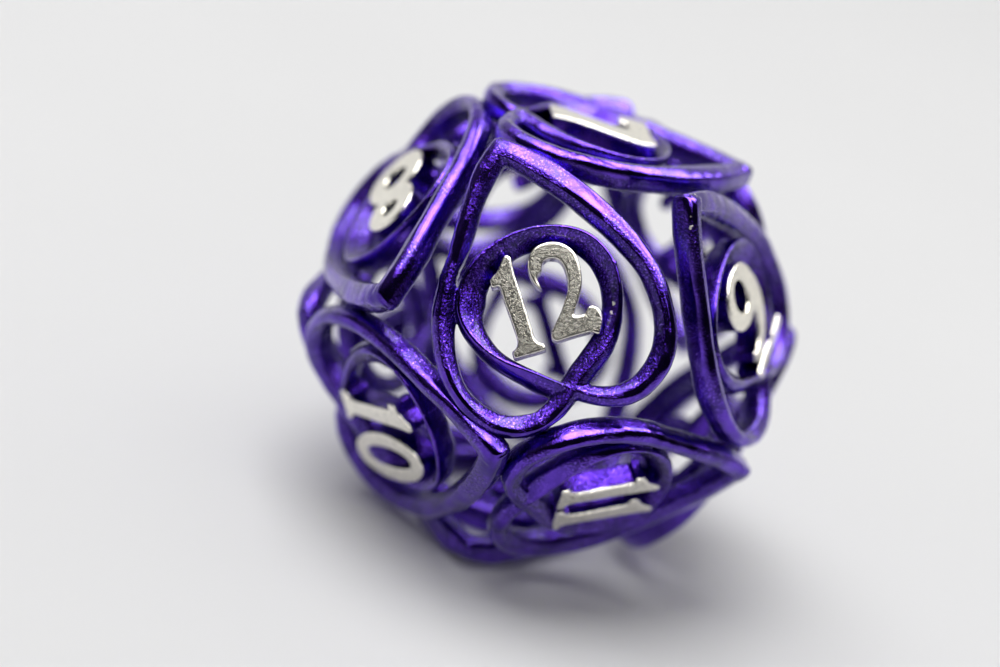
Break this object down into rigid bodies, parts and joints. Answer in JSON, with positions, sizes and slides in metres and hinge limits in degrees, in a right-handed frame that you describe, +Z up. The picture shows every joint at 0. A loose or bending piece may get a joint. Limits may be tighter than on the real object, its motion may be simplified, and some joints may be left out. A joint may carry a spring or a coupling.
{
  "type": "polyhedral die",
  "caption": "Openwork metal twelve-sided die with curled heart-shaped bands and a see-through number on each face.",
  "frame": {"origin": "centre of the die, on the axis through every pair of opposite faces", "axes": "+Z up through the 7, -Z down through the 6 that it rests on, -Y level towards the side of the 12"},
  "size_m": [0.0232, 0.0237, 0.02],
  "materials": {
    "plated_bands": "glossy purple plated casting with a fine cast grain",
    "bare_numerals": "bare silver-grey metal, lightly polished, fine grain"
  },
  "bodies": {
    "root": {"heart_01": "plated_bands", "heart_02": "plated_bands", "heart_03": "plated_bands", "heart_04": "plated_bands", "heart_05": "plated_bands", "heart_06": "plated_bands", "heart_07": "plated_bands", "heart_08": "plated_bands", "heart_09": "plated_bands", "heart_10": "plated_bands", "heart_11": "plated_bands", "heart_12": "plated_bands", "numeral_01": "bare_numerals", "numeral_02": "bare_numerals", "numeral_03": "bare_numerals", "numeral_04": "bare_numerals", "numeral_05": "bare_numerals", "numeral_06": "bare_numerals", "numeral_07": "bare_numerals", "numeral_08": "bare_numerals", "numeral_09": "bare_numerals", "numeral_10_tens": "bare_numerals", "numeral_10_units": "bare_numerals", "numeral_11_tens": "bare_numerals", "numeral_11_units": "bare_numerals", "numeral_12_tens": "bare_numerals", "numeral_12_units": "bare_numerals", "ring_01": "plated_bands", "ring_02": "plated_bands", "ring_03": "plated_bands", "ring_04": "plated_bands", "ring_05": "plated_bands", "ring_06": "plated_bands", "ring_07": "plated_bands", "ring_08": "plated_bands", "ring_09": "plated_bands", "ring_10": "plated_bands", "ring_11": "plated_bands", "ring_12": "plated_bands", "underline_06": "bare_numerals", "underline_09": "bare_numerals"}
  },
  "joints": []
}
